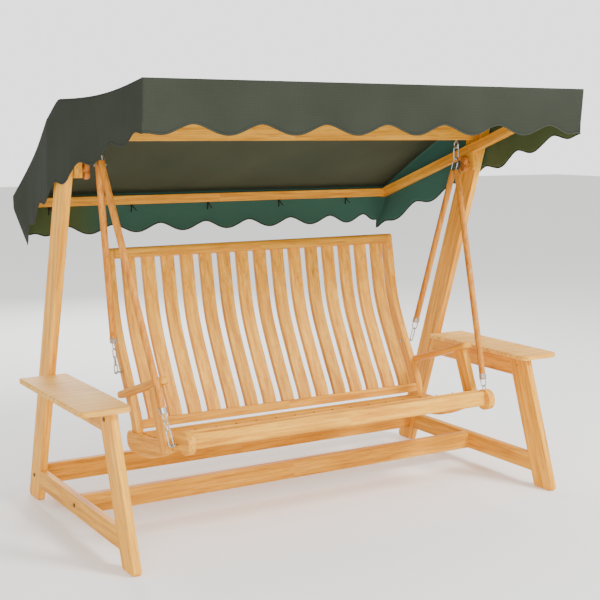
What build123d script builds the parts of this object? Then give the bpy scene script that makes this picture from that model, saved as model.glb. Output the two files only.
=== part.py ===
from build123d import *
import os
from math import cos, radians, sin, tan

# Porch swing with a fixed A-frame stand, two side tables, a fabric canopy and a slatted bench
# that hangs on four wooden rods.  Millimetres, +Z up, +X to the sitter's left as seen from the
# front, front towards -Y.  Sizes along Y are measured from midway between the feet; the finished
# pieces are written with their origin on the floor under the middle of the canopy.

os.makedirs("parts", exist_ok=True)

SIDES = (("left", -1), ("right", 1))

# ---------------------------------------------------------------- driving dimensions: the stand
outer_half_width = 1100.0  # centre to the outer face of a leg
board = 34.0  # thickness of every frame board
leg_width = 120.0
foot_reach = 632.0  # centre to the outer edge of a foot, front or rear
post_lean = 18.15  # degrees from upright, forwards
leg_lean = 19.55  # degrees from upright, backwards
post_height = 1826.0
foot_rounding = 18.0
post_top_rounding = 22.0
edge_rounding = 3.0
table_underside = 617.0
table_thickness = 22.0
table_overhang = 136.0  # beyond the outer face of the legs
table_inset = 84.0  # inside the outer face of the legs
table_front = -457.0
table_rounding = 34.0
table_rear_rounding = 12.0
table_edge_rounding = 6.0
upper_rail_height = 95.0
lower_rail_bottom = 70.0
lower_rail_height = 85.0
rear_stretcher_front = 525.0
rear_stretcher_bottom = 68.0
front_stretcher_front = 2.0
front_stretcher_bottom = 71.0
stretcher_height = 95.0
stretcher_drop = 9.0  # the front stretcher is this much lower than the rear one
beam_front = 2.0
beam_thickness = 40.0
beam_bottom = 1668.0
beam_height = 130.0

# ---------------------------------------------------------------- driving dimensions: the roof
rafter_slope = 18.5  # degrees, rising towards the front
rafter_height = 46.0
rafter_reference_y = 34.0
rafter_reference_z = 1595.6  # underside of the rafters there
rafter_front = -716.0
rafter_rear = 795.0
roof_rail_height = 44.0
rear_roof_rail_front = 755.0
front_roof_rail_front = -716.0
block_front = -12.0
block_rear = 76.0
block_bottom = 1518.0
knob_y = 20.0
knob_z = 1549.0
knob_height = 76.0
knob_lobe = 19.0
knob_thickness = 24.0
knob_standoff = 17.0  # clear space between the rest block and the knob, filled by its hub
bolt_radius = 4.0
bolt_clearance = 0.3
head_radius = 9.0
head_height = 4.0

# ---------------------------------------------------------------- driving dimensions: the canopy
cloth = 3.0
cloth_clearance = 1.0  # between the rafters' outer faces and the side valances
cloth_past_posts = 8.5  # outside of the cloth beyond the legs' outer faces, at its widest
cloth_wide_rear = 215.0  # the side of the cloth is widest from here, past the posts,
cloth_wide_front = -120.0  # to here
seam_gap = 1.2
cloth_rear = (806.0, 1402.0)
cloth_ridge_rear = (50.0, 1840.0)
cloth_ridge_front = (-58.0, 1840.0)
cloth_sag = (-300.0, 1846.0)
cloth_front = (-728.0, 1903.0)
valance_front_drop = 160.0  # to the points between the scallops
valance_rear_drop = 150.0
scallop_depth = 42.0
front_scallops = 8
rear_scallops = 8
side_scallops = 6
tie_places = (-902.0, -478.0, -55.0, 368.0, 792.0)
tie_width = 18.0
tie_thickness = 3.0
tie_length = 46.0

# ---------------------------------------------------------------- driving dimensions: the seat
seat_half_width = 800.0  # centre to the outer face of a side board
side_board = 33.0
disc_y = -458.0
disc_z = 456.0
disc_radius = 48.0
dish_level = 387.4  # height of the dished seat line at y = 0
dish_slope = -0.0231
dish_curve = 0.000542
front_beam_depth = 34.0
front_beam_height = 70.0
front_beam_lift = 7.0  # its middle is this much above the middle of the side boards' round ends
front_beam_tilt = 14.0
front_beam_rounding = 12.0
seat_slat_count = 9
seat_slat_width = 45.0
seat_slat_thickness = 18.0
seat_slat_pitch = 52.0
seat_slat_proud = 4.0
seat_slat_lift = 1.6  # keeps the flat slats clear of the dished bearers
seat_slat_first = -403.0
side_gap = 0.5
bearer_thickness = 33.0
bearer_front = -432.0
bearer_height = 52.0
rear_bearer_y = 97.0
rear_bearer_z = 343.0
rear_bearer_depth = 30.0
rear_bearer_height = 60.0
cleat_thickness = 24.0
cleat_height = 26.0
cleat_front = -382.0
cleat_rear = 28.0
stile_inset = 8.0  # outer face of a stile inside that of a side board
stile_thickness = 34.0
stile_depth = 52.0
heel_flat = 30.0  # the side boards are flat on top from here back to heel_top
heel_top = 112.0
back_slat_count = 15
back_slat_width = 61.0
back_slat_thickness = 24.0
back_rail_depth = 38.0
lower_rail_rise = 42.0
top_rail_depth = 58.0
top_rail_rise = 47.0
top_rail_corner = (320.0, 1141.0)  # y and z of its lower front edge
low_rail_corner = (56.0, 443.0)  # y and z of the lower rail's upper front edge
back_top_rounding = 20.0
armrest_width = 58.0
armrest_thickness = 32.0
armrest_top_rounding = 12.0
armrest_low_rounding = 9.0
armrest_offset = 8.0  # middle of an armrest beyond the outer face of a side board
armrest_rear = (133.0, 550.0)
armrest_tip = (-296.0, 693.0)
arm_post_width = 70.0
arm_post_thickness = 34.0
arm_post_blank = 360.0  # length before it is cut off under the armrest
arm_post_bottom = (-318.0, 422.0)

# ---------------------------------------------------------------- driving dimensions: the hangers
hang_x = 951.0
hang_y = 22.0
hang_z = 1640.0
rod_radius = 15.0
wire_radius = 2.5
hook_wire = 3.5
eye_wire = 4.5
eye_hole = 10.5
eye_rise = 5.0  # eye centre above the hang axis
eye_sink = 72.0  # how far the beam's eye bolts go into the beam
fork_apart = 2.8  # half the distance between the two forks on the left eye
right_fork_apart = 4.0  # and between the two in the right snap hook
contact_gap = 0.3
link_gap = 0.8
top_hook_drop = 58.0  # hang axis to the forks on the right
left_rod_start = 56.0  # from the fork's bend to the wood
right_rod_start = 66.0
lower_rod_start = 35.0
ferrule_length = 24.0
ferrule_wall = 2.0
front_eye = (-402.0, 442.0)
rear_eye = (192.0, 640.0)
seat_eye_reach = 29.0  # board face to the outer wire of a seat eye
seat_eye_ring = 11.0
seat_eye_wire = 3.0
short_link = 61.0
swivel_drop = 97.0
chain_drop = 110.0
chain_links = 3
link_half_width = 8.0

# ---------------------------------------------------------------- derived sizes
inner_half_width = outer_half_width - board
cloth_half_front = inner_half_width + cloth_clearance + cloth
cloth_half_ridge = outer_half_width + cloth_past_posts
post_slope = tan(radians(post_lean))
leg_slope = tan(radians(leg_lean))
roof_slope = tan(radians(rafter_slope))
rafter_upright = rafter_height / cos(radians(rafter_slope))
rafter_inner = inner_half_width - board
table_top = table_underside + table_thickness
stile_outer = seat_half_width - stile_inset
stile_inner = stile_outer - stile_thickness
armrest_centre = seat_half_width + armrest_offset
slat_gap = (2 * stile_inner - back_slat_count * back_slat_width) / (back_slat_count + 1)
slat_pitch = slat_gap + back_slat_width
hook_half_width = 13.5
origin_shift = -(cloth_rear[0] + cloth_front[0]) / 2


def post_rear(z):
    """Y of the rear edge of a post at height z."""
    return foot_reach - post_slope * z


def post_front(z):
    """Y of the front edge of a post at height z."""
    return post_rear(z) - leg_width / cos(radians(post_lean))


def leg_front(z):
    """Y of the front edge of a front leg at height z."""
    return -foot_reach + leg_slope * z


def leg_rear(z):
    """Y of the rear edge of a front leg at height z."""
    return leg_front(z) + leg_width / cos(radians(leg_lean))


def rafter_low(y):
    """Height of the underside of the rafters."""
    return rafter_reference_z + roof_slope * (rafter_reference_y - y)


def dish(y):
    """Height of the dished top edge of the seat's side boards."""
    return dish_level + dish_slope * y + dish_curve * y * y


def low_x(sign, inner, thickness):
    """Lower X of a board whose inner face is `inner` from the centre, on either side."""
    return inner if sign > 0 else -inner - thickness


def save(part, name):
    """Move a finished piece to the object's origin, label it and write it."""
    placed = part.moved(Location((0, origin_shift, 0)))
    placed.label = name
    export_step(placed, f"parts/{name}.step")


def ease(builder, radius=edge_rounding):
    """Round the long edges of the board in a builder."""
    longest = max(edge.length for edge in builder.edges())
    fillet([edge for edge in builder.edges() if edge.length > 0.55 * longest], radius)


def drill(plane, places, depth, radius=bolt_radius + bolt_clearance):
    """Cut round holes through the piece in the current builder, from a plane."""
    with BuildSketch(plane) as holes:
        with Locations(*places):
            Circle(radius)
    extrude(holes.sketch, amount=depth, mode=Mode.SUBTRACT)


def shifted(points, distance):
    """The points of a curve moved sideways, to its right as it is walked."""
    moved = []
    for i, (y, z) in enumerate(points):
        before = points[max(i - 1, 0)]
        after = points[min(i + 1, len(points) - 1)]
        along = Vector(after[0] - before[0], after[1] - before[1]).normalized()
        moved.append((y + along.Y * distance, z - along.X * distance))
    return moved


# ---------------------------------------------------------------- places of the frame bolts (y, z)
lower_bolt = (front_stretcher_front + board / 2, front_stretcher_bottom + stretcher_height / 2 - 5)
rear_bolt = (rear_stretcher_front + board / 2, rear_stretcher_bottom + stretcher_height / 2)
beam_bolt = (beam_front + beam_thickness / 2, beam_bottom + beam_height / 2)
rafter_bolt = (rafter_reference_y, rafter_low(rafter_reference_y) + rafter_upright / 2)
knob_bolt = (knob_y, knob_z)
leg_bolt = (leg_front(table_underside) + leg_width / 2, table_underside - 42.0)
stretcher_bolt_depth = 55.0

# ---------------------------------------------------------------- stand
for side, sign in SIDES:
    face = low_x(sign, inner_half_width, board)

    with BuildPart() as post:
        lean = radians(post_lean)
        rear_top = (post_rear(post_height), post_height)
        front_top = (rear_top[0] - leg_width * cos(lean), rear_top[1] - leg_width * sin(lean))
        with BuildSketch(Plane.YZ.offset(face)) as outline:
            Polygon((post_front(0), 0), (post_rear(0), 0), rear_top, front_top, align=None)
            fillet(outline.vertices().group_by(Axis.Y)[0], foot_rounding)
            fillet(outline.vertices().group_by(Axis.Y)[-2:], post_top_rounding)
        extrude(amount=board)
        ease(post)
        drill(Plane.YZ.offset(face), (rear_bolt, beam_bolt, rafter_bolt, knob_bolt), board)
    save(post.part, f"{side}_post")

    with BuildPart() as front_leg:
        with BuildSketch(Plane.YZ.offset(face)) as outline:
            Polygon((leg_front(0), 0), (leg_rear(0), 0), (leg_rear(table_underside), table_underside),
                    (leg_front(table_underside), table_underside), align=None)
            fillet(outline.vertices().group_by(Axis.Y)[0], foot_rounding)
        extrude(amount=board)
        ease(front_leg)
        drill(Plane.YZ.offset(face), (leg_bolt,), board)
    save(front_leg.part, f"{side}_front_leg")

    with BuildPart() as lower_rail:
        low, high = lower_rail_bottom, lower_rail_bottom + lower_rail_height
        with BuildSketch(Plane.YZ.offset(face)):
            Polygon((leg_rear(low), low), (post_front(low), low),
                    (post_front(high), high), (leg_rear(high), high), align=None)
        extrude(amount=board)
        ease(lower_rail)
        drill(Plane.YZ.offset(face), (lower_bolt,), board)
    save(lower_rail.part, f"{side}_lower_rail")

    with BuildPart() as upper_rail:
        low, high = table_underside - upper_rail_height, table_underside
        with BuildSketch(Plane.YZ.offset(face)):
            Polygon((leg_rear(low), low), (post_front(low), low),
                    (post_front(high), high), (leg_rear(high), high), align=None)
        extrude(amount=board)
        ease(upper_rail)
    save(upper_rail.part, f"{side}_upper_rail")

    with BuildPart() as side_table:
        table_low = low_x(sign, outer_half_width - table_inset, table_inset + table_overhang)
        table_depth = post_front(table_top) - side_gap - table_front
        with BuildSketch(Plane.XY.offset(table_underside)) as outline:
            with Locations((table_low, table_front)):
                Rectangle(table_inset + table_overhang, table_depth, align=(Align.MIN, Align.MIN))
            fillet(outline.vertices().group_by(Axis.Y)[0], table_rounding)
            fillet(outline.vertices().group_by(Axis.Y)[-1], table_rear_rounding)
        extrude(amount=table_thickness)
        fillet(side_table.faces().sort_by(Axis.Z)[-1].edges(), table_edge_rounding)
    save(side_table.part, f"{side}_side_table")

    with BuildPart() as rafter:
        with BuildSketch(Plane.YZ.offset(low_x(sign, rafter_inner, board))) as outline:
            Polygon((rafter_front, rafter_low(rafter_front)), (rafter_rear, rafter_low(rafter_rear)),
                    (rafter_rear, rafter_low(rafter_rear) + rafter_upright),
                    (rafter_front, rafter_low(rafter_front) + rafter_upright), align=None)
            fillet(outline.vertices(), 6.0)
        extrude(amount=board)
        ease(rafter)
        drill(Plane.YZ.offset(low_x(sign, rafter_inner, board)), (rafter_bolt,), board)
    save(rafter.part, f"{side}_rafter")

with BuildPart() as rear_stretcher:
    with Locations((0, rear_stretcher_front + board / 2, rear_stretcher_bottom + stretcher_height / 2)):
        Box(2 * inner_half_width, board, stretcher_height)
    ease(rear_stretcher)
    for sign in (-1, 1):
        start = low_x(sign, inner_half_width - stretcher_bolt_depth, stretcher_bolt_depth)
        drill(Plane.YZ.offset(start), (rear_bolt,), stretcher_bolt_depth)
save(rear_stretcher.part, "rear_stretcher")

with BuildPart() as front_stretcher:
    height = stretcher_height - stretcher_drop
    with Locations((0, front_stretcher_front + board / 2, front_stretcher_bottom + height / 2)):
        Box(2 * inner_half_width, board, height)
    ease(front_stretcher)
    for sign in (-1, 1):
        start = low_x(sign, inner_half_width - stretcher_bolt_depth, stretcher_bolt_depth)
        drill(Plane.YZ.offset(start), (lower_bolt,), stretcher_bolt_depth)
save(front_stretcher.part, "front_stretcher")

with BuildPart() as main_beam:
    with Locations((0, beam_front + beam_thickness / 2, beam_bottom + beam_height / 2)):
        Box(2 * inner_half_width, beam_thickness, beam_height)
    ease(main_beam)
    for sign in (-1, 1):
        start = low_x(sign, inner_half_width - stretcher_bolt_depth, stretcher_bolt_depth)
        drill(Plane.YZ.offset(start), (beam_bolt,), stretcher_bolt_depth)
    drill(Plane.XY.offset(beam_bottom), ((-hang_x, hang_y), (hang_x, hang_y)), eye_sink,
          eye_wire + bolt_clearance)
save(main_beam.part, "main_beam")

for name, front in (("rear_roof_rail", rear_roof_rail_front), ("front_roof_rail", front_roof_rail_front)):
    with BuildPart() as roof_rail:
        middle = front + board / 2
        level = rafter_low(middle) + rafter_upright / 2
        with Locations((0, middle, level)):
            Box(2 * rafter_inner, board, roof_rail_height)
        ease(roof_rail)
    save(roof_rail.part, name)

with BuildPart() as rest_blocks:
    for side, sign in SIDES:
        start = low_x(sign, rafter_inner, board)
        with BuildSketch(Plane.YZ.offset(start)):
            Polygon((block_front, block_bottom), (block_rear, block_bottom),
                    (block_rear, rafter_low(block_rear)), (block_front, rafter_low(block_front)),
                    align=None)
        extrude(amount=board)
        drill(Plane.YZ.offset(start), (knob_bolt,), board)
save(rest_blocks.part, "rafter_rest_blocks")


def bolt_along_x(sign, place, outer, inner):
    """A dome-headed bolt along X, its head on the `outer` face, its shank down to `inner`."""
    length = outer - inner
    with BuildSketch(Plane.YZ.offset(low_x(sign, inner, length))) as shank:
        with Locations(place):
            Circle(bolt_radius)
    extrude(shank.sketch, amount=length)
    with BuildSketch(Plane.YZ.offset(low_x(sign, outer, head_height))) as head:
        with Locations(place):
            Circle(head_radius)
    extrude(head.sketch, amount=head_height)


with BuildPart() as frame_bolts:
    for side, sign in SIDES:
        deep = inner_half_width - stretcher_bolt_depth + 2.0
        for place in (lower_bolt, rear_bolt, beam_bolt):
            bolt_along_x(sign, place, outer_half_width, deep)
        bolt_along_x(sign, leg_bolt, outer_half_width, inner_half_width + 2.0)
        bolt_along_x(sign, rafter_bolt, outer_half_width, rafter_inner + 2.0)
save(frame_bolts.part, "frame_bolts")

knob_back = rafter_inner - knob_standoff
knob_face = knob_back - knob_thickness
with BuildPart() as knob_bolts:
    for side, sign in SIDES:
        bolt_along_x(sign, knob_bolt, outer_half_width, knob_face + 6.0)
        with BuildSketch(Plane.YZ.offset(low_x(sign, rafter_inner - 2.0, 2.0))):
            with Locations(knob_bolt):
                Circle(13.0)
        extrude(amount=2.0)
save(knob_bolts.part, "knob_bolts")

for side, sign in SIDES:
    with BuildPart() as wing_knob:
        lobe_offset = knob_height / 2 - knob_lobe
        with BuildSketch(Plane.YZ.offset(low_x(sign, knob_face, knob_thickness))) as outline:
            with Locations((knob_y, knob_z - lobe_offset), (knob_y, knob_z + lobe_offset)):
                Circle(knob_lobe)
            with Locations(knob_bolt):
                Rectangle(knob_lobe * 1.3, knob_lobe)
        extrude(amount=knob_thickness)
        fillet(wing_knob.edges().filter_by(GeomType.CIRCLE), 5.0)
        with BuildSketch(Plane.YZ.offset(low_x(sign, knob_back, knob_standoff - 2.3))):
            with Locations(knob_bolt):
                Circle(13.0)
        extrude(amount=knob_standoff - 2.3)
        bore_start = low_x(sign, knob_face, knob_thickness + knob_standoff)
        drill(Plane.YZ.offset(bore_start), (knob_bolt,), knob_thickness + knob_standoff,
              bolt_radius + 0.1)
    save(wing_knob.part, f"{side}_wing_knob")

# ---------------------------------------------------------------- canopy panels
roof_line = (cloth_rear, cloth_ridge_rear, cloth_ridge_front, cloth_sag, cloth_front)


def canopy_plan(shrink=0.0):
    """Corners of the canopy seen from above: narrow at front and rear, widest past the posts."""
    narrow, wide = cloth_half_front - shrink, cloth_half_ridge - shrink
    right = [(narrow, cloth_rear[0]), (wide, cloth_wide_rear), (wide, cloth_wide_front),
             (narrow, cloth_front[0])]
    return right + [(-x, y) for x, y in reversed(right)]


def roof_height(y):
    """Height of the top of the cloth along its centre line."""
    for (rear_y, rear_z), (front_y, front_z) in zip(roof_line, roof_line[1:]):
        if front_y <= y <= rear_y:
            return rear_z + (front_z - rear_z) * (rear_y - y) / (rear_y - front_y)
    return roof_line[0][1] if y > roof_line[0][0] else roof_line[-1][1]


def scalloped_edge(points):
    """Hanging arcs between neighbouring points of a hem."""
    for start, end in zip(points, points[1:]):
        middle = ((start[0] + end[0]) / 2, (start[1] + end[1]) / 2 - scallop_depth)
        ThreePointArc(start, middle, end)


for name, line in (("canopy_roof_rear", roof_line[:2]), ("canopy_roof_front", roof_line[1:])):
    with BuildPart() as roof:
        under = [(y, z - cloth) for y, z in reversed(line)]
        with BuildSketch(Plane.YZ.offset(-cloth_half_ridge - 50)):
            Polygon(*line, *under, align=None)
        extrude(amount=2 * cloth_half_ridge + 100)
        with BuildSketch(Plane.XY.offset(1000)):
            Polygon(*canopy_plan(), align=None)
        extrude(amount=1200, mode=Mode.INTERSECT)
    save(roof.part, name)

for name, (edge_y, edge_z), drop, count in (
        ("canopy_valance_front", cloth_front, valance_front_drop, front_scallops),
        ("canopy_valance_rear", cloth_rear, valance_rear_drop, rear_scallops)):
    with BuildPart() as valance:
        half = cloth_half_front
        top = edge_z - cloth - seam_gap
        hem = [(-half + 2 * half * k / count, edge_z - drop) for k in range(count + 1)]
        start = edge_y if name.endswith("front") else edge_y - cloth
        with BuildSketch(Plane.XZ.offset(-start - cloth)):
            with BuildLine():
                Polyline((half, edge_z - drop), (half, top), (-half, top), (-half, edge_z - drop))
                scalloped_edge(hem)
            make_face()
        extrude(amount=cloth)
    save(valance.part, name)

hem_rear = cloth_rear[1] - valance_rear_drop
hem_front = cloth_front[1] - valance_front_drop
side_rear = cloth_rear[0] - cloth - seam_gap
side_front = cloth_front[0] + cloth + seam_gap
for side, sign in SIDES:
    with BuildPart() as valance:
        hem = []
        for k in range(side_scallops + 1):
            share = k / side_scallops
            hem.append((side_rear + (side_front - side_rear) * share,
                        hem_rear + (hem_front - hem_rear) * share))
        top = [(side_rear, roof_height(side_rear))] + list(roof_line[1:4])
        top.append((side_front, roof_height(side_front)))
        lowered = [(y, z - cloth - seam_gap) for y, z in top]
        with BuildSketch(Plane.YZ.offset(low_x(sign, cloth_half_front - 60, 120))):
            with BuildLine():
                Polyline(hem[0], *lowered, hem[-1])
                scalloped_edge(hem)
            make_face()
        extrude(amount=120)
        with BuildSketch(Plane.XY.offset(1000)):
            Polygon(*canopy_plan(), align=None)
            Polygon(*canopy_plan(cloth), align=None, mode=Mode.SUBTRACT)
        extrude(amount=1200, mode=Mode.INTERSECT)
    save(valance.part, f"canopy_valance_{side}")

tie_middle = rear_roof_rail_front + board / 2
tie_level = rafter_low(tie_middle) + (rafter_upright - roof_rail_height) / 2 - contact_gap
with BuildPart() as canopy_ties:
    for place in tie_places:
        with BuildSketch(Plane.YZ.offset(place - tie_width / 2)):
            with Locations((tie_middle, tie_level)):
                Rectangle(tie_thickness, tie_length, align=(Align.CENTER, Align.MAX))
        extrude(amount=tie_width)
save(canopy_ties.part, "canopy_ties")

# ---------------------------------------------------------------- seat
side_inner = seat_half_width - side_board
seat_inner = side_inner - side_gap
stile_foot_z = dish(heel_flat)
top_curve = [(y, dish(y)) for y in (-440.0, -330.0, -220.0, -110.0, heel_flat)]
belly = [(92.0, 300.0), (-60.0, 303.0), (-150.0, 320.0), (-241.0, 353.0), (-350.0, 401.0), (-440.0, 421.0)]


def seat_outline(drop=0.0):
    """Outline of a seat bearer: dished top, rounded heel and bellied underside."""
    with BuildLine() as outline:
        Spline(*[(y, z - drop) for y, z in top_curve])
        Line((heel_flat, stile_foot_z - drop), (heel_top, stile_foot_z - drop))
        ThreePointArc((heel_top, stile_foot_z - drop), (137.0, 343.0), (92.0, 300.0))
        Spline(*belly)
        Line(belly[-1], (top_curve[0][0], top_curve[0][1] - drop))
    make_face(outline.edges())


for side, sign in SIDES:
    with BuildPart() as seat_side:
        with BuildSketch(Plane.YZ.offset(low_x(sign, side_inner, side_board))):
            seat_outline()
            with Locations((disc_y, disc_z)):
                Circle(disc_radius)
        extrude(amount=side_board)
        drill(Plane.YZ.offset(low_x(sign, side_inner, side_board)), (front_eye,), side_board,
              seat_eye_wire + bolt_clearance)
    save(seat_side.part, f"{side}_seat_side")

with BuildPart() as front_beam:
    with BuildSketch(Plane.YZ.offset(-seat_inner)):
        with Locations(Location((disc_y, disc_z + front_beam_lift, 0), (0, 0, -front_beam_tilt))):
            RectangleRounded(front_beam_depth, front_beam_height, front_beam_rounding)
    extrude(amount=2 * seat_inner)
save(front_beam.part, "seat_front_beam")


def bearer_strip(start, thickness, front_y, rear_y, height):
    """A bearer whose top follows the underside of the dished seat slats."""
    drop = seat_slat_thickness - seat_slat_proud
    upper = [(front_y + (rear_y - front_y) * k / 4, 0.0) for k in range(5)]
    upper = [(y, dish(y) - drop) for y, z in upper]
    lower = [(y, z - height) for y, z in upper]
    with BuildLine() as outline:
        Spline(*upper)
        Line(upper[-1], lower[-1])
        Spline(*reversed(lower))
        Line(lower[0], upper[0])
    with BuildSketch(Plane.YZ.offset(start)) as section:
        make_face(outline.edges())
    extrude(section.sketch, amount=thickness)


with BuildPart() as centre_bearer:
    bearer_strip(-bearer_thickness / 2, bearer_thickness, bearer_front, rear_bearer_y - rear_bearer_depth / 2,
                 bearer_height)
save(centre_bearer.part, "seat_centre_bearer")

with BuildPart() as rear_bearer:
    with BuildSketch(Plane.YZ.offset(-seat_inner)):
        with Locations((rear_bearer_y, rear_bearer_z)):
            RectangleRounded(rear_bearer_depth, rear_bearer_height, 4.0)
    extrude(amount=2 * seat_inner)
save(rear_bearer.part, "seat_rear_bearer")

with BuildPart() as seat_cleats:
    for side, sign in SIDES:
        cleat_start = low_x(sign, seat_inner - cleat_thickness, cleat_thickness)
        bearer_strip(cleat_start, cleat_thickness, cleat_front, cleat_rear, cleat_height)
save(seat_cleats.part, "seat_cleats")

with BuildPart() as seat_slats:
    for k in range(seat_slat_count):
        y = seat_slat_first + k * seat_slat_pitch * cos(radians(7.0))
        tilt = dish_slope + 2 * dish_curve * y
        middle = dish(y) + seat_slat_proud - seat_slat_thickness / 2 + seat_slat_lift
        plane = Plane(origin=(-seat_inner, y, middle), x_dir=(0, 1, tilt), z_dir=(1, 0, 0))
        with BuildSketch(plane):
            RectangleRounded(seat_slat_width, seat_slat_thickness, 4.0)
        extrude(amount=2 * seat_inner)
save(seat_slats.part, "seat_slats")

# The back's front face is an S-curve from the seat up to the top rail.
back_curve = [(43.0, 380.0), (57.0, 450.0), (88.0, 511.0), (124.0, 571.0), (166.0, 645.0), (211.0, 726.0),
              (255.0, 815.0), (286.0, 905.0), (306.0, 995.0), (323.0, 1085.0), (341.5, 1185.0)]


def back_profile(depth):
    """Closed outline between the back's front curve and the same curve `depth` behind it."""
    behind = shifted(back_curve, depth)
    with BuildLine() as outline:
        Spline(*back_curve)
        Line(back_curve[-1], behind[-1])
        Spline(*reversed(behind))
        Line(behind[0], back_curve[0])
    make_face(outline.edges())


rail_top_plane = Plane(origin=(0, *top_rail_corner), x_dir=(0, 1, -0.21), z_dir=(0, 0.205, 0.979))
rail_low_plane = Plane(origin=(0, *low_rail_corner), x_dir=(0, 1, -0.24), z_dir=(0, 0.233, 0.972))

for side, sign in SIDES:
    with BuildPart() as stile:
        start = low_x(sign, stile_inner, stile_thickness)
        with BuildSketch(Plane.YZ.offset(start)) as outline:
            back_profile(stile_depth)
            fillet(outline.vertices().sort_by(Axis.Y)[-2:], back_top_rounding)
        extrude(amount=stile_thickness)
        split(bisect_by=Plane.XY.offset(stile_foot_z + 0.3), keep=Keep.TOP)
        drill(Plane.YZ.offset(start), (rear_eye,), stile_thickness, seat_eye_wire + bolt_clearance)
    save(stile.part, f"{side}_back_stile")

rail_half = stile_inner - side_gap
with BuildPart() as top_rail:
    with BuildSketch(Plane(origin=(-rail_half, *top_rail_corner), x_dir=(0, 1, -0.21), z_dir=(1, 0, 0))) as outline:
        Rectangle(top_rail_depth, top_rail_rise, align=(Align.MIN, Align.MIN))
        fillet(outline.vertices().sort_by(Axis.Y)[-2:], back_top_rounding)
    extrude(amount=2 * rail_half)
save(top_rail.part, "back_top_rail")

with BuildPart() as back_lower_rail:
    with BuildSketch(Plane(origin=(-rail_half, *low_rail_corner), x_dir=(0, 1, -0.24), z_dir=(1, 0, 0))):
        Rectangle(back_rail_depth, lower_rail_rise, align=(Align.MIN, Align.MAX))
    extrude(amount=2 * rail_half)
    ease(back_lower_rail)
save(back_lower_rail.part, "back_lower_rail")

with BuildPart() as back_slats:
    for k in range(back_slat_count):
        middle = (k - (back_slat_count - 1) / 2) * slat_pitch
        with BuildSketch(Plane.YZ.offset(middle - back_slat_width / 2)):
            back_profile(back_slat_thickness)
        extrude(amount=back_slat_width)
    split(bisect_by=rail_low_plane.offset(contact_gap), keep=Keep.TOP)
    split(bisect_by=rail_top_plane.offset(-contact_gap), keep=Keep.BOTTOM)
save(back_slats.part, "back_slats")

arm_along = Vector(armrest_tip[0] - armrest_rear[0], armrest_tip[1] - armrest_rear[1])
arm_length = arm_along.length
arm_rise = arm_along.Y / -arm_along.X
for side, sign in SIDES:
    with BuildPart() as armrest:
        low = Plane(origin=(sign * armrest_centre, armrest_rear[0], armrest_rear[1] - armrest_thickness / 2),
                    x_dir=(0, -1, arm_rise), z_dir=(0, arm_rise, 1))
        with BuildSketch(low) as outline:
            with Locations((-armrest_width / 2, 0)):
                Rectangle(arm_length + armrest_width / 2, armrest_width, align=(Align.MIN, Align.CENTER))
            fillet(outline.vertices(), armrest_width / 2 - 1.0)
        extrude(amount=armrest_thickness)
        upright = Axis(low.origin, low.z_dir)
        fillet(armrest.faces().sort_by(upright)[-1].edges(), armrest_top_rounding)
        fillet(armrest.faces().sort_by(upright)[0].edges(), armrest_low_rounding)
        notch = shifted(back_curve, -side_gap)
        with BuildSketch(Plane.YZ.offset(low_x(sign, stile_inner, stile_thickness + side_gap))):
            with BuildLine():
                Spline(*notch)
                Polyline(notch[-1], (600.0, notch[-1][1]), (600.0, notch[0][1]), notch[0])
            make_face()
        extrude(amount=stile_thickness + side_gap, mode=Mode.SUBTRACT)
    save(armrest.part, f"{side}_armrest")

    with BuildPart() as arm_post:
        start = low_x(sign, seat_half_width, arm_post_thickness)
        leaning = Plane(origin=(start, *arm_post_bottom), x_dir=(0, 0.388, 0.922), z_dir=(1, 0, 0))
        with BuildSketch(leaning):
            with Locations((-arm_post_width / 2, 0)):
                RectangleRounded(arm_post_blank, arm_post_width, arm_post_width / 2 - 6.0,
                                 align=(Align.MIN, Align.CENTER))
        extrude(amount=arm_post_thickness)
        arm_under = Plane(origin=(0, armrest_rear[0], armrest_rear[1] - armrest_thickness / 2 - contact_gap),
                          x_dir=(1, 0, 0), z_dir=(0, arm_rise, 1))
        split(bisect_by=arm_under, keep=Keep.BOTTOM)
        ease(arm_post, 4.0)
    save(arm_post.part, f"{side}_arm_post")


# ---------------------------------------------------------------- hangers
def wire_loop(plane, length, half_width, radius):
    """A round-wire oval link in a plane, its long way along the plane's Y, one end at the origin."""
    straight = length - 2 * half_width
    with BuildLine(plane) as route:
        Line((half_width, half_width), (half_width, half_width + straight))
        CenterArc((0, half_width + straight), half_width, 0, 180)
        Line((-half_width, half_width + straight), (-half_width, half_width))
        CenterArc((0, half_width), half_width, 180, 180)
    with BuildSketch(Plane(origin=route.line @ 0, z_dir=route.line % 0)) as section:
        Circle(radius)
    sweep(section.sketch, path=route.line)


def open_hook(plane, length, half_width, radius, gate_low, gate_high):
    """An oval snap hook whose +X side is left open between two heights for its gate."""
    straight = length - 2 * half_width
    with BuildLine(plane) as route:
        Line((half_width, gate_high), (half_width, half_width + straight))
        CenterArc((0, half_width + straight), half_width, 0, 180)
        Line((-half_width, half_width + straight), (-half_width, half_width))
        CenterArc((0, half_width), half_width, 180, 180)
        Line((half_width, half_width), (half_width, gate_low))
    with BuildSketch(Plane(origin=route.line @ 0, z_dir=route.line % 0)) as section:
        Circle(radius)
    sweep(section.sketch, path=route.line)


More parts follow.
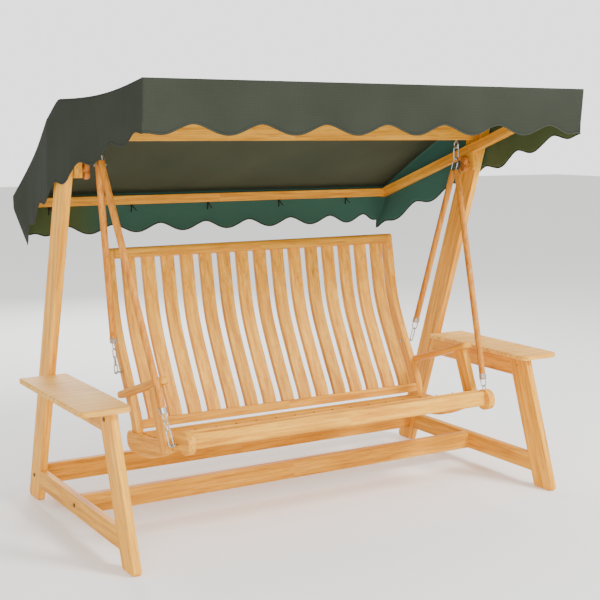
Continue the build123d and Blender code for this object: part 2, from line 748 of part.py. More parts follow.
def fork(apex, toward, across, reach, ferrule=0.0):
    """A U-shaped wire fork over the end of a rod, its cross bolt, and a ferrule of the given length."""
    half = rod_radius + wire_radius + 0.5
    with BuildLine(Plane(origin=apex, x_dir=across, z_dir=across.cross(toward))) as route:
        Line((-half, reach), (-half, half))
        CenterArc((0, half), half, 180, 180)
        Line((half, half), (half, reach))
    with BuildSketch(Plane(origin=route.line @ 0, z_dir=route.line % 0)) as section:
        Circle(wire_radius)
    sweep(section.sketch, path=route.line)
    bolt_start = apex + toward * (reach - 3.0) - across * (half + 4.0)
    with BuildSketch(Plane(origin=bolt_start, z_dir=across)) as bolt:
        Circle(wire_radius)
    extrude(bolt.sketch, amount=2 * half + 8.0)
    if ferrule:
        with BuildSketch(Plane(origin=apex + toward * (reach + 3.0 - ferrule), z_dir=toward)) as band:
            Circle(rod_radius + ferrule_wall)
            Circle(rod_radius + bolt_clearance, mode=Mode.SUBTRACT)
        extrude(band.sketch, amount=ferrule)


hangers = []
for side, sign in SIDES:
    for place, eye, board_face in (("front", front_eye, seat_half_width), ("rear", rear_eye, stile_outer)):
        eye_point = Vector(sign * (board_face + seat_eye_reach), eye[0], eye[1])
        if sign < 0:
            shift = -fork_apart if place == "front" else fork_apart
            apex = Vector(-hang_x, hang_y + shift, hang_z)
            start = left_rod_start
            drop = swivel_drop if place == "front" else chain_drop
        else:
            shift = -right_fork_apart if place == "front" else right_fork_apart
            apex = Vector(hang_x + shift, hang_y, hang_z - top_hook_drop)
            start = right_rod_start
            drop = short_link
        down = (eye_point - apex).normalized()
        low_apex = eye_point - down * drop
        fore = down.cross(Vector(1, 0, 0)).normalized()
        wide = fore.cross(down).normalized()
        hangers.append((f"{side}_{place}", sign, apex, down, start, low_apex, eye_point, fore, wide))

fork_grip = 22.0
for name, sign, apex, down, start, low_apex, eye_point, fore, wide in hangers:
    with BuildPart() as rod:
        top = apex + down * start
        length = (low_apex - down * lower_rod_start - top).length
        with BuildSketch(Plane(origin=top, z_dir=down)):
            Circle(rod_radius)
        extrude(amount=length)
        fillet(rod.edges().filter_by(GeomType.CIRCLE), 3.0)
        for centre, across in ((apex + down * (start + fork_grip - 3.0), wide if sign < 0 else fore),
                               (low_apex - down * (lower_rod_start + fork_grip - 3.0), fore)):
            with BuildSketch(Plane(origin=centre - across * 2 * rod_radius, z_dir=across)):
                Circle(wire_radius + bolt_clearance)
            extrude(amount=4 * rod_radius, mode=Mode.SUBTRACT)
    save(rod.part, f"{name}_rod")

with BuildPart() as rod_forks:
    for name, sign, apex, down, start, low_apex, eye_point, fore, wide in hangers:
        fork(apex, down, wide if sign < 0 else fore, start + fork_grip)
        fork(low_apex, down * -1, fore, lower_rod_start + fork_grip, ferrule_length)
save(rod_forks.part, "rod_forks")

# The snap hook at the top right hangs on the beam's eye and carries both right-hand rods.
fork_seat = wire_radius + hook_wire + contact_gap
top_hook_length = top_hook_drop + fork_seat + 1.6
top_hook_plane = Plane(origin=(hang_x, hang_y, hang_z - top_hook_length), x_dir=(1, 0, 0), z_dir=(0, -1, 0))
gate_low, gate_high = 21.0, 47.0
with BuildPart() as right_top_hook:
    open_hook(top_hook_plane, top_hook_length, hook_half_width, hook_wire, gate_low, gate_high)
save(right_top_hook.part, "right_top_hook")

gate_gap = 1.3
with BuildPart() as right_top_gate:
    with BuildSketch(Plane(origin=(hang_x + hook_half_width, hang_y, top_hook_plane.origin.Z + gate_low + gate_gap))):
        Circle(hook_wire - 0.6)
    extrude(amount=gate_high - gate_low - 2 * gate_gap)
save(right_top_gate.part, "right_top_hook_gate")

# The long snap hook with its swivel, between the left front rod and the seat.
left_front = hangers[0]
hook_up = left_front[3] * -1
hook_across = left_front[7].cross(hook_up).normalized()
long_hook_length = 74.0
long_hook_start = left_front[6] - hook_up * (seat_eye_wire + hook_wire + link_gap)
long_hook_plane = Plane(origin=long_hook_start, x_dir=hook_across, z_dir=hook_across.cross(hook_up))
long_gate_low, long_gate_high = 24.0, 52.0
swivel_ring = 7.0
with BuildPart() as left_front_hook:
    open_hook(long_hook_plane, long_hook_length, link_half_width + 2.0, hook_wire, long_gate_low, long_gate_high)
    barrel = long_hook_start + hook_up * (long_hook_length - 1.0)
    with BuildSketch(Plane(origin=barrel, z_dir=hook_up)):
        Circle(6.0)
    extrude(amount=14.0)
    ring_start = barrel + hook_up * 13.0
    ring_length = (left_front[5] - ring_start).length + fork_seat - 1.0
    ring_plane = Plane(origin=ring_start, x_dir=hook_across, z_dir=hook_across.cross(hook_up))
    wire_loop(ring_plane, ring_length, swivel_ring, wire_radius)
save(left_front_hook.part, "left_front_hook")

with BuildPart() as left_front_gate:
    gate_origin = long_hook_start + hook_across * (link_half_width + 2.0) + hook_up * (long_gate_low + gate_gap)
    with BuildSketch(Plane(origin=gate_origin, z_dir=hook_up)):
        Circle(hook_wire - 0.6)
    extrude(amount=long_gate_high - long_gate_low - 2 * gate_gap)
save(left_front_gate.part, "left_front_hook_gate")

with BuildPart() as hanger_links:
    for name, sign, apex, down, start, low_apex, eye_point, fore, wide in hangers:
        up = down * -1
        seat = seat_eye_wire + wire_radius + link_gap
        if name.startswith("right"):
            plane = Plane(origin=eye_point + down * seat, x_dir=wide, z_dir=wide.cross(up))
            wire_loop(plane, short_link + seat + 2 * wire_radius + contact_gap, link_half_width, wire_radius)
        elif name == "left_rear":
            inner = 2 * wire_radius + contact_gap
            pitch = (chain_drop + seat + inner) / chain_links
            for k in range(chain_links):
                flat = wide if k % 2 == 0 else fore
                link_start = eye_point + down * seat + up * (k * (pitch - inner / chain_links))
                plane = Plane(origin=link_start, x_dir=flat, z_dir=flat.cross(up))
                wire_loop(plane, pitch + inner - inner / chain_links, link_half_width - 1.0, wire_radius)
save(hanger_links.part, "hanger_links")


def eye_bolt(plane, ring, wire, shank):
    """An eye in a plane with its shank along the plane's Y, starting at the ring."""
    with Locations(plane.location):
        Torus(ring, wire)
    shank_plane = Plane(origin=plane.origin + plane.y_dir * ring, z_dir=plane.y_dir)
    with BuildSketch(shank_plane) as section:
        Circle(wire)
    extrude(section.sketch, amount=shank)


with BuildPart() as beam_eyes:
    eye_ring = eye_hole + eye_wire
    for side, sign in SIDES:
        centre = (sign * hang_x, hang_y, hang_z + eye_rise)
        shank = beam_bottom + eye_sink - 2.0 - (hang_z + eye_rise + eye_ring)
        eye_bolt(Plane(origin=centre, x_dir=(0, 1, 0), z_dir=(1, 0, 0)), eye_ring, eye_wire, shank)
save(beam_eyes.part, "beam_eye_bolts")

with BuildPart() as seat_eyes:
    for name, sign, apex, down, start, low_apex, eye_point, fore, wide in hangers:
        thickness = side_board if name.endswith("front") else stile_thickness
        centre = eye_point - Vector(sign * seat_eye_ring, 0, 0)
        shank = seat_eye_reach - 2 * seat_eye_ring + thickness + 4.0
        plane = Plane(origin=centre, x_dir=(0, sign, 0), z_dir=(0, 0, 1))
        eye_bolt(plane, seat_eye_ring, seat_eye_wire, shank)
        nut_face = (seat_half_width - side_board if name.endswith("front") else stile_inner) - 5.0
        with BuildSketch(Plane.YZ.offset(low_x(sign, nut_face, 5.0))):
            with Locations((eye_point.Y, eye_point.Z)):
                RegularPolygon(6.5, 6)
        extrude(amount=5.0)
save(seat_eyes.part, "seat_eye_bolts")
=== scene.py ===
"""Porch swing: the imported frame, dressed in oiled wood, zinc plated steel and one sewn canopy cloth."""
import logging
import math
from dataclasses import dataclass, field
from enum import Enum

import bmesh
import bpy
import numpy as np
from mathutils import Matrix, Vector


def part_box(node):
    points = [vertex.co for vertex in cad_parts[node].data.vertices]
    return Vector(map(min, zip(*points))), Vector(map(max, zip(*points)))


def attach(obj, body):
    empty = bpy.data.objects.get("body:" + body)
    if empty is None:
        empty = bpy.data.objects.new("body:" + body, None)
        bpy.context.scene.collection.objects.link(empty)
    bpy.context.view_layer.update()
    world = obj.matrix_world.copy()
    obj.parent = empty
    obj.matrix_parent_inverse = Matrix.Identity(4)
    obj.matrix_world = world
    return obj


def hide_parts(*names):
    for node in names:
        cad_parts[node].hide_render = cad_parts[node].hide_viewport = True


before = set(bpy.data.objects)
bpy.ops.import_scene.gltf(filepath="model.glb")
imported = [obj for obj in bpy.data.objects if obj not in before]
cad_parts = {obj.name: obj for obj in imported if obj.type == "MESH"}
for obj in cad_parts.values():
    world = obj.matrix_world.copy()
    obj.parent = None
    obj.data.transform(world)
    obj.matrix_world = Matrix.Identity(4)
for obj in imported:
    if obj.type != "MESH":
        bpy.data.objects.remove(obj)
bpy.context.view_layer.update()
log = logging.getLogger("porch_swing")
MM = 0.001
# A wave texture of scale s repeats every STRAIGHT_WAVE / s metres, or DIAGONAL_WAVE / s on the diagonal.
STRAIGHT_WAVE = 0.314
DIAGONAL_WAVE = 0.6283


class Grain(Enum):
    """Which way the grain of a board runs."""

    ALONG_X = "x"
    IN_SIDE_PLANE = "side"


def linear(hex_colour: str) -> tuple[float, float, float, float]:
    """Turn an sRGB hex colour into linear RGBA.

    Args:
        hex_colour: six hexadecimal digits, with or without a leading hash.

    Returns:
        Linear red, green, blue and an alpha of 1.
    """
    digits = hex_colour.lstrip("#")
    parts = [int(digits[i:i + 2], 16) / 255 for i in (0, 2, 4)]
    curve = [c / 12.92 if c <= 0.04045 else ((c + 0.055) / 1.055) ** 2.4 for c in parts]
    return (curve[0], curve[1], curve[2], 1.0)


def add(tree: bpy.types.NodeTree, kind: str, settings: dict | None = None, inputs: dict | None = None,
        stops: list[tuple[float, str]] | None = None) -> bpy.types.Node:
    """Add a shader node with its settings and links.

    Args:
        tree: the material's node tree.
        kind: the node's type name.
        settings: attributes to set on the node.
        inputs: socket name or number to a value, or to an output socket to link from.
        stops: place, from 0 to 1, and hex colour of each stop of a colour ramp.

    Returns:
        The new node.
    """
    node = tree.nodes.new(kind)
    for key, value in (settings or {}).items():
        setattr(node, key, value)
    for key, value in (inputs or {}).items():
        if isinstance(value, bpy.types.NodeSocket):
            tree.links.new(value, node.inputs[key])
        else:
            node.inputs[key].default_value = value
    if stops:
        elements = node.color_ramp.elements
        while len(elements) < len(stops):
            elements.new(0.5)
        for element, (place, colour) in zip(elements, stops):
            element.position = place
            element.color = linear(colour)
    return node


def new_tree(name: str) -> tuple[bpy.types.Material, bpy.types.NodeTree, bpy.types.Node]:
    """Make an empty material with one Principled shader.

    Args:
        name: the material's name.

    Returns:
        The material, its tree and the shader node.
    """
    material = bpy.data.materials.new(name)
    material.use_nodes = True
    tree = material.node_tree
    tree.nodes.clear()
    shader = tree.nodes.new("ShaderNodeBsdfPrincipled")
    output = tree.nodes.new("ShaderNodeOutputMaterial")
    tree.links.new(shader.outputs["BSDF"], output.inputs["Surface"])
    return material, tree, shader


@dataclass(frozen=True)
class OiledWood:
    """Planed robinia under a thin oil: long streaky grain, soft satin gloss.

    The grain is noise stretched along the board, over a slower wave for the growth rings. The real
    pores are about 0.3 mm wide and are drawn coarser so that they show. To the eye it is warm honey,
    paler where the wood is dense, and darker in fine broken lines along the pores.
    """

    name: str = "oiled robinia"
    pale: str = "#F1B444"
    middle: str = "#E3A12C"
    deep: str = "#CB861C"
    ring_line: str = "#DDBD86"  # multiplies the wood where a growth ring is darkest
    ring_edge: str = "#F0E2C4"
    pore: str = "#C09C66"  # multiplies it in the pores
    grain: Grain = Grain.ALONG_X
    lean: float = 90.0  # degrees from +Y towards +Z, of a board in a side plane
    seed: float = 0.0
    board_axis: int = 0  # axis across which separate boards lie
    board_pitch: float = 0.0  # their spacing in metres, 0 for a single board
    board_start: float = 0.0
    board_tones: tuple[float, float] = (0.9, 1.08)  # darkest and lightest board of a row
    board_jump: float = 9.0  # metres of the pattern between two boards, at most
    stretch: float = 0.045  # width of a streak over its length
    pore_width: float = 5.263 * MM
    streak_width: float = 16.667 * MM
    ring_pitch: float = 57.12 * MM  # growth rings across a flat-sawn board
    ring_strength: float = 0.4
    pore_strength: float = 0.5
    roughness: float = 0.52
    gloss_spread: tuple[float, float] = (-0.08, 0.12)
    specular: float = 0.22
    pore_depth: float = 0.6 * MM
    bump: float = 0.35

    def build(self) -> bpy.types.Material:
        """Make the material: streaks, times ring lines, times pores, times the tone of the board.

        Returns:
            The material.
        """
        material, tree, shader = new_tree(self.name)
        place = add(tree, "ShaderNodeTexCoord").outputs["Object"]
        number = self._board_number(tree, place)
        drawn = self._along_grain(tree, place, number)
        fine = add(tree, "ShaderNodeTexNoise",
                   inputs={"Vector": drawn, "Scale": 1 / self.pore_width, "Detail": 4.0,
                           "Roughness": 0.6}).outputs["Fac"]
        streak = add(tree, "ShaderNodeTexNoise",
                     inputs={"Vector": drawn, "Scale": 1 / self.streak_width, "Detail": 3.0,
                             "Roughness": 0.55}).outputs["Fac"]
        rings = add(tree, "ShaderNodeTexWave", {"wave_type": "BANDS", "bands_direction": "DIAGONAL"},
                    {"Vector": drawn, "Scale": DIAGONAL_WAVE / self.ring_pitch, "Distortion": 7.0,
                     "Detail": 2.0, "Detail Scale": 1.4}).outputs["Fac"]
        base = add(tree, "ShaderNodeValToRGB", inputs={"Fac": streak},
                   stops=[(0.28, self.deep), (0.5, self.middle), (0.72, self.pale)]).outputs["Color"]
        ring_lines = add(tree, "ShaderNodeValToRGB", inputs={"Fac": rings},
                         stops=[(0.0, "#FFFFFF"), (0.62, "#FFFFFF"), (0.9, self.ring_line),
                                (1.0, self.ring_edge)]).outputs["Color"]
        ringed = add(tree, "ShaderNodeMix", {"data_type": "RGBA", "blend_type": "MULTIPLY"},
                     {"Factor": self.ring_strength, "A": base, "B": ring_lines}).outputs["Result"]
        pores = add(tree, "ShaderNodeValToRGB", inputs={"Fac": fine},
                    stops=[(0.34, self.pore), (0.48, "#FFFFFF")]).outputs["Color"]
        pored = add(tree, "ShaderNodeMix", {"data_type": "RGBA", "blend_type": "MULTIPLY"},
                    {"Factor": self.pore_strength, "A": ringed, "B": pores}).outputs["Result"]
        toned = add(tree, "ShaderNodeHueSaturation",
                    inputs={"Color": pored, "Value": self._board_tone(tree, number)}).outputs["Color"]
        tree.links.new(toned, shader.inputs["Base Color"])
        shader.inputs["Specular IOR Level"].default_value = self.specular
        gloss = add(tree, "ShaderNodeMapRange",
                    inputs={"Value": fine, "To Min": self.roughness + self.gloss_spread[0],
                            "To Max": self.roughness + self.gloss_spread[1]})
        tree.links.new(gloss.outputs["Result"], shader.inputs["Roughness"])
        bump = add(tree, "ShaderNodeBump",
                   inputs={"Height": fine, "Strength": self.bump, "Distance": self.pore_depth})
        tree.links.new(bump.outputs["Normal"], shader.inputs["Normal"])
        return material

    def _along_grain(self, tree: bpy.types.NodeTree, place: bpy.types.NodeSocket,
                     number: bpy.types.NodeSocket) -> bpy.types.NodeSocket:
        """Turn the pattern along the board, give each board its own part of it, and stretch it.

        Args:
            tree: the material's node tree.
            place: Object coordinates.
            number: the board's number.

        Returns:
            Coordinates whose Y runs along the grain, shortened by `stretch`.
        """
        if self.grain is Grain.ALONG_X:
            turn = (0.0, 0.0, math.radians(-90))
        else:
            turn = (math.radians(-self.lean), 0.0, 0.0)
        turned = add(tree, "ShaderNodeMapping", inputs={"Vector": place, "Rotation": turn}).outputs[0]
        noise = add(tree, "ShaderNodeTexWhiteNoise", {"noise_dimensions": "1D"}, {"W": number})
        shift = add(tree, "ShaderNodeVectorMath", {"operation": "SCALE"},
                    {0: noise.outputs["Color"], "Scale": self.board_jump}).outputs[0]
        moved = add(tree, "ShaderNodeVectorMath", {"operation": "ADD"}, {0: turned, 1: shift}).outputs[0]
        seeded = add(tree, "ShaderNodeVectorMath", {"operation": "ADD"},
                     {0: moved, 1: (self.seed * 1.7, self.seed * 3.1, self.seed * 0.9)}).outputs[0]
        return add(tree, "ShaderNodeMapping",
                   inputs={"Vector": seeded, "Scale": (1.0, self.stretch, 1.0)}).outputs[0]

    def _board_number(self, tree: bpy.types.NodeTree, place: bpy.types.NodeSocket) -> bpy.types.NodeSocket:
        """Number the separate boards of one node: the whole part of their distance over their pitch.

        Args:
            tree: the material's node tree.
            place: Object coordinates.

        Returns:
            The board's number.
        """
        parts = add(tree, "ShaderNodeSeparateXYZ", inputs={0: place})
        counted = add(tree, "ShaderNodeMath", {"operation": "SUBTRACT"},
                      {0: parts.outputs[self.board_axis], 1: self.board_start}).outputs[0]
        divided = add(tree, "ShaderNodeMath", {"operation": "DIVIDE"},
                      {0: counted, 1: self.board_pitch or 100.0}).outputs[0]
        return add(tree, "ShaderNodeMath", {"operation": "FLOOR"}, {0: divided}).outputs[0]

    def _board_tone(self, tree: bpy.types.NodeTree, number: bpy.types.NodeSocket) -> bpy.types.NodeSocket:
        """Make each board a little lighter or darker than its neighbours.

        Args:
            tree: the material's node tree.
            number: the board's number.

        Returns:
            The brightness of the board, within `board_tones`.
        """
        seeded = add(tree, "ShaderNodeMath", {"operation": "ADD"},
                     {0: number, 1: self.seed + 0.37}).outputs[0]
        noise = add(tree, "ShaderNodeTexWhiteNoise", {"noise_dimensions": "1D"}, {"W": seeded})
        return add(tree, "ShaderNodeMapRange",
                   inputs={"Value": noise.outputs["Value"], "To Min": self.board_tones[0],
                           "To Max": self.board_tones[1]}).outputs["Result"]


@dataclass(frozen=True)
class ZincSteel:
    """Zinc plated steel wire and eye bolts: bright, slightly mottled, brushed by handling.

    The spangle of the plating is under 1 mm and is drawn coarser. To the eye it is a cool grey with
    soft highlights that break up along the wire.
    """

    name: str = "zinc plated steel"
    colour: str = "#C6C8C6"
    dull: str = "#8E908C"
    spangle: float = 3.846 * MM
    roughness: float = 0.3
    gloss_spread: tuple[float, float] = (-0.08, 0.14)

    def build(self) -> bpy.types.Material:
        """Make the material: one noise moves both its grey and its gloss.

        Returns:
            The material.
        """
        material, tree, shader = new_tree(self.name)
        place = add(tree, "ShaderNodeTexCoord").outputs["Object"]
        mottle = add(tree, "ShaderNodeTexNoise",
                     inputs={"Vector": place, "Scale": 1 / self.spangle, "Detail": 3.0}).outputs["Fac"]
        colour = add(tree, "ShaderNodeValToRGB", inputs={"Fac": mottle},
                     stops=[(0.3, self.dull), (0.62, self.colour)]).outputs["Color"]
        tree.links.new(colour, shader.inputs["Base Color"])
        shader.inputs["Metallic"].default_value = 1.0
        gloss = add(tree, "ShaderNodeMapRange",
                    inputs={"Value": mottle, "To Min": self.roughness + self.gloss_spread[0],
                            "To Max": self.roughness + self.gloss_spread[1]})
        tree.links.new(gloss.outputs["Result"], shader.inputs["Roughness"])
        return material


@dataclass(frozen=True)
class WovenCloth:
    """Acrylic awning cloth: a plain weave, matt, with slow uneven fading.

    Its threads are about 0.5 mm apart; the weave is drawn at 3 mm so that it shows. To the eye it is a
    deep green grey without highlights. Where daylight comes through it turns teal: that is painted by
    place, with a faint glow, because the wall has no light passing through it.
    """

    name: str = "woven awning cloth"
    colour: str = "#353930"
    shade: str = "#2F332A"
    thread: float = 3.0 * MM
    fade: float = 384.6 * MM  # size of the faded patches
    roughness: float = 0.88
    specular: float = 0.12
    thread_shade: str = "#D8D8D8"
    thread_strength: float = 0.7
    thread_depth: float = 0.5 * MM
    bump: float = 0.3
    lit: str = ""  # colour where daylight comes through from behind
    glow: float = 0.0
    lit_from_x: tuple[float, float] = (-0.80, -0.58)
    lit_from_y: tuple[float, float] = (-0.10, 0.10)

    def build(self) -> bpy.types.Material:
        """Make the material: faded colour, times two crossed waves for the threads.

        Returns:
            The material.
        """
        material, tree, shader = new_tree(self.name)
        place = add(tree, "ShaderNodeTexCoord").outputs["UV"]
        waves = []
        for direction in ("X", "Y"):
            wave = add(tree, "ShaderNodeTexWave", {"wave_type": "BANDS", "bands_direction": direction},
                       {"Vector": place, "Scale": STRAIGHT_WAVE / (2 * self.thread), "Distortion": 0.6,
                        "Detail": 1.0})
            waves.append(wave.outputs["Fac"])
        weave = add(tree, "ShaderNodeMath", {"operation": "MULTIPLY"},
                    {0: waves[0], 1: waves[1]}).outputs[0]
        slow = add(tree, "ShaderNodeTexNoise",
                   inputs={"Vector": place, "Scale": 1 / self.fade, "Detail": 4.0}).outputs["Fac"]
        colour = add(tree, "ShaderNodeValToRGB", inputs={"Fac": slow},
                     stops=[(0.32, self.shade), (0.66, self.colour)]).outputs["Color"]
        if self.lit:
            colour = self._lit_through(tree, colour)
        threads = add(tree, "ShaderNodeValToRGB", inputs={"Fac": weave},
                      stops=[(0.0, self.thread_shade), (0.5, "#FFFFFF")]).outputs["Color"]
        woven = add(tree, "ShaderNodeMix", {"data_type": "RGBA", "blend_type": "MULTIPLY"},
                    {"Factor": self.thread_strength, "A": colour, "B": threads}).outputs["Result"]
        tree.links.new(woven, shader.inputs["Base Color"])
        shader.inputs["Roughness"].default_value = self.roughness
        shader.inputs["Specular IOR Level"].default_value = self.specular
        if self.glow:
            tree.links.new(woven, shader.inputs["Emission Color"])
            shader.inputs["Emission Strength"].default_value = self.glow
        bump = add(tree, "ShaderNodeBump",
                   inputs={"Height": weave, "Strength": self.bump, "Distance": self.thread_depth})
        tree.links.new(bump.outputs["Normal"], shader.inputs["Normal"])
        return material

    def _lit_through(self, tree: bpy.types.NodeTree, colour: bpy.types.NodeSocket) -> bpy.types.NodeSocket:
        """Blend to the lit colour towards the rear of the canopy and away from its left end.

        Args:
            tree: the material's node tree.
            colour: the unlit cloth.

        Returns:
            The blended colour: the share is the product of two smooth steps, along X and along Y.
        """
        place = add(tree, "ShaderNodeTexCoord").outputs["Object"]
        parts = add(tree, "ShaderNodeSeparateXYZ", inputs={0: place})
        across, along = [
            add(tree, "ShaderNodeMapRange", {"interpolation_type": "SMOOTHSTEP"},
                {"Value": parts.outputs[axis], "From Min": low, "From Max": high}).outputs["Result"]
            for axis, (low, high) in (("X", self.lit_from_x), ("Y", self.lit_from_y))]
        share = add(tree, "ShaderNodeMath", {"operation": "MULTIPLY"}, {0: across, 1: along}).outputs[0]
        return add(tree, "ShaderNodeMix", {"data_type": "RGBA"},
                   {"Factor": share, "A": colour, "B": linear(self.lit)}).outputs["Result"]


@dataclass(frozen=True)
class BlackenedSteel:
    """Oiled, blackened coach bolts, rubbed a little at the crown: dark brown with a dull shine."""

    name: str = "blackened steel"
    colour: str = "#4A3A2A"
    rubbed: str = "#6B5640"
    patch: float = 5.556 * MM
    metallic: float = 0.8
    roughness: float = 0.45

    def build(self) -> bpy.types.Material:
        """Make the material: patches of rubbed metal by noise.

        Returns:
            The material.
        """
        material, tree, shader = new_tree(self.name)
        place = add(tree, "ShaderNodeTexCoord").outputs["Object"]
        wear = add(tree, "ShaderNodeTexNoise",
                   inputs={"Vector": place, "Scale": 1 / self.patch, "Detail": 2.0}).outputs["Fac"]
        colour = add(tree, "ShaderNodeValToRGB", inputs={"Fac": wear},
                     stops=[(0.4, self.colour), (0.7, self.rubbed)]).outputs["Color"]
        tree.links.new(colour, shader.inputs["Base Color"])
        shader.inputs["Metallic"].default_value = self.metallic
        shader.inputs["Roughness"].default_value = self.roughness
        return material


def mesh_object(name: str, points: np.ndarray, faces: list, uvs: np.ndarray | None = None,
                smooth: bool = True) -> bpy.types.Object:
    """Put arrays into a new mesh object at the origin.

    Args:
        name: the object's name.
        points: an N x 3 array of vertices in metres.
        faces: vertex indices of each face.
        uvs: an N x 2 array of UV places, one per vertex, in metres on the flat cloth.
        smooth: whether the faces are shaded smooth.

    Returns:
        The linked object.
    """
    mesh = bpy.data.meshes.new(name)
    mesh.from_pydata(points.tolist(), [], [list(map(int, f)) for f in faces])
    mesh.update()
    if uvs is not None:
        layer = mesh.uv_layers.new(name="cut")
        loops = np.empty(len(mesh.loops), dtype=np.int32)
        mesh.loops.foreach_get("vertex_index", loops)
        layer.data.foreach_set("uv", uvs[loops].astype(np.float32).ravel())
    mesh.polygons.foreach_set("use_smooth", np.full(len(mesh.polygons), smooth))
    obj = bpy.data.objects.new(name, mesh)
    bpy.context.scene.collection.objects.link(obj)
    return obj


def grid_faces(rows: int, columns: int, start: int = 0) -> np.ndarray:
    """Quads of a rows x columns grid of vertices, numbered row by row from `start`."""
    r, c = np.meshgrid(np.arange(rows - 1), np.arange(columns - 1), indexing="ij")
    first = (start + r * columns + c).ravel()
    return np.stack([first, first + 1, first + columns + 1, first + columns], axis=1)


@dataclass
class Canopy:
    """One sewn cloth: a roof over ridge and roof rails, with scalloped valances on four sides.

    Every length is in metres, measured from the stand's own middle along Y, then moved by `shift`.
    """

    shift: float = -0.039
    half_end: float = 1.070
    half_ridge: float = 1.108
    bulge_middle: float = 0.05  # y where the posts push the cloth out furthest
    bulge_reach: float = 0.30
    bulge_flat: float = 1.25  # over 1, the cloth stays at its widest for a while
    rear_edge: tuple[float, float] = (0.804, 1.400)  # y and z
    front_edge: tuple[float, float] = (-0.727, 1.900)
    ridge: tuple[float, float] = (-0.014, 1.840)
    ridge_half_length: float = 0.050
    ridge_softness: float = 0.008
    rear_lift: float = 0.004
    dip: float = 0.012
    sag: float = 0.016  # between the rails and the ridge
    ridge_sag: float = 0.026
    ridge_reach: float = 0.16
    edge_reach: float = 0.25  # from a rail until the cloth sags fully
    ripple: float = 0.0035
    slope_stretch: float = 1.08  # length of the cloth over its depth
    end_cut: float = 1.0  # where the end and side valances start on the flat cloth
    side_cut: float = 1.2
    front_drop: float = 0.160  # to the points between the scallops
    rear_drop: float = 0.150
    scallop: float = 0.042
    hem_fall: tuple[float, float] = (0.222, 0.085)  # slope and curve of the side hem's line
    hem_lean: tuple[float, float] = (0.010, 0.004)
    rear_tuck: float = 0.062
    tuck_from: float = 0.30  # share of the drop that still covers the rafters' ends
    tuck_start: float = 0.55  # x where the rear hem starts to pull in
    side_tuck_end: float = 0.30  # share of the depth where the side hem's pull ends
    flare: float = 0.008
    front_first: float = -0.863  # place of one point, then the width of a scallop
    front_pitch: float = 0.291
    rear_first: float = -0.830
    rear_pitch: float = 0.255
    side_pitch: float = 0.262
    left_first: float = -0.425
    right_first: float = -0.530
    corner_fill: float = 0.80
    corner_reach: float = 0.11
    flat_corner: tuple[float, float] = (0.06, 0.07)  # share of an end and of a side without folds
    fold_lift: float = 0.6
    end_fold: float = 0.006
    side_fold: float = 0.004
    fold_lengths: tuple[float, float, float] = (0.262, 0.417, 0.131)
    fold_shares: tuple[float, float, float] = (0.5, 0.32, 0.25)
    columns: int = 240
    roof_rows: int = 150
    valance_rows: int = 18
    thickness: float = 1.2 * MM
    seam_merge: float = 0.2 * MM
    tape_merge: float = 0.05 * MM
    binding_half: tuple[float, float] = (1.8 * MM, 4.0 * MM)  # across the cloth and along its drop
    binding_sides: int = 8
    tie_places: tuple[float, ...] = (-0.902, -0.478, -0.055, 0.368, 0.792)
    tie_width: float = 0.006
    tie_thickness: float = 1.6 * MM
    tie_steps: int = 14

    def profile_y(self, share: np.ndarray) -> np.ndarray:
        """Y of the roof at a share of its depth: 0 at the rear edge, 1 at the front edge."""
        return self.rear_edge[0] + (self.front_edge[0] - self.rear_edge[0]) * share

    def profile_z(self, y: np.ndarray) -> np.ndarray:
        """Height of the cloth's side edge at y: straight slopes to a rounded ridge, then a long dip.

        The rear slope is a straight line. Forward of the ridge the line rises gently with a dip
        of a flattened sine. The two are joined by a smooth minimum over the ridge.

        Args:
            y: places along the depth of the roof.

        Returns:
            The height at each place.
        """
        rear = self.ridge[1] + self.rear_lift + (self.rear_edge[1] - self.ridge[1]) * (
            (y - self.ridge[0] - self.ridge_half_length)
            / (self.rear_edge[0] - self.ridge[0] - self.ridge_half_length))
        t = np.clip((self.ridge[0] + self.ridge_half_length - y)
                    / (self.ridge[0] + self.ridge_half_length - self.front_edge[0]), 0, 1)
        front = (self.ridge[1] + (self.front_edge[1] - self.ridge[1]) * t ** 1.5
                 - self.dip * np.sin(np.pi * t))
        soft, crest = self.ridge_softness, self.ridge[1]
        return -soft * np.log(np.exp(-(rear - crest) / soft) + np.exp(-(front - crest) / soft)) + crest

    def half_width(self, y: np.ndarray) -> np.ndarray:
        """Half the cloth's width at y: it is pushed out over the tops of the posts."""
        bulge = np.exp(-((y - self.bulge_middle) / self.bulge_reach) ** 2)
        return self.half_end + (self.half_ridge - self.half_end) * np.clip(bulge * self.bulge_flat, 0, 1)

    def scallop_depth(self, place: np.ndarray, first: float, pitch: float,
                      ends: tuple[float, float]) -> np.ndarray:
        """How far the hem hangs below its points: a raised cosine, level where it rounds a corner.

        Args:
            place: places along the hem.
            first: place of one of the points.
            pitch: width of a scallop.
            ends: places of the two corners.

        Returns:
            The depth at each place.
        """
        turn = np.mod((place - first) / pitch, 1.0)
        lobe = (0.5 - 0.5 * np.cos(2 * np.pi * turn)) ** 0.85
        for end in ends:
            near = np.clip(1 - np.abs(place - end) / self.corner_reach, 0, 1)
            near = near * near * (3 - 2 * near)
            lobe = lobe * (1 - near) + self.corner_fill * near
        return self.scallop * lobe

    def flutter(self, along: np.ndarray, down: np.ndarray, phase: float, size: float) -> np.ndarray:
        """Soft folds of a hanging valance: three sines along it, growing towards the hem.

        Args:
            along: places along the valance.
            down: share of its drop, from 0 at the roof to 1 at the hem.
            phase: start of the folds.
            size: their height at the hem.

        Returns:
            The distance out of the valance's plane.
        """
        wave = sum(share * np.sin(along * 2 * np.pi / length + turn * phase)
                   for share, length, turn in zip(self.fold_shares, self.fold_lengths, (1.0, 2.1, 0.7)))
        return size * wave * down ** 1.3

